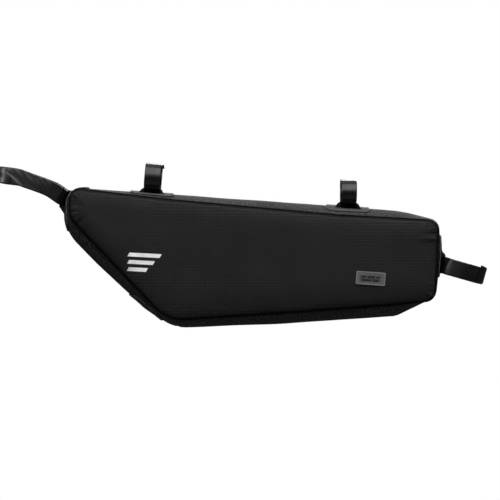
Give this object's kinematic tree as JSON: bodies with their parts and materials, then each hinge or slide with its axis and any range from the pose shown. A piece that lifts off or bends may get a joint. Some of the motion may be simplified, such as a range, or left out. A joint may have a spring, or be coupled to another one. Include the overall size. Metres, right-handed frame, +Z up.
{
  "type": "bicycle frame bag",
  "caption": "Long wedge-shaped padded cloth bag with a side zip, held under a tube by strap loops threaded through sewn patches.",
  "frame": {"origin": "middle of the space inside the two top loops, where the bag is held up, in the plane midway between the side panels", "axes": "+X towards the tail of the bag, +Y away from the front panel, +Z up as worn"},
  "size_m": [0.5835, 0.0653, 0.1973],
  "materials": {
    "panel_cloth": "fine checked weave, matt with a faint sheen",
    "gusset_cloth": "plain weave, matt",
    "anchor_cloth": "coated cloth, stitched edge",
    "strap_webbing": "smooth hook-and-loop webbing with a satin sheen",
    "zip_tape": "coated zip tape",
    "label_grey": "matt moulded label"
  },
  "bodies": {
    "root": {"gusset": "gusset_cloth", "front_panel": "panel_cloth", "back_panel": "panel_cloth", "zip": "zip_tape", "label_patch": "label_grey", "anchor_top_front": "anchor_cloth", "anchor_top_rear": "anchor_cloth", "anchor_nose": "anchor_cloth", "anchor_slope": "anchor_cloth", "anchor_tail": "anchor_cloth", "strap_top_front": "strap_webbing", "strap_top_rear": "strap_webbing", "strap_head": "strap_webbing", "strap_seat": "strap_webbing"}
  },
  "joints": []
}
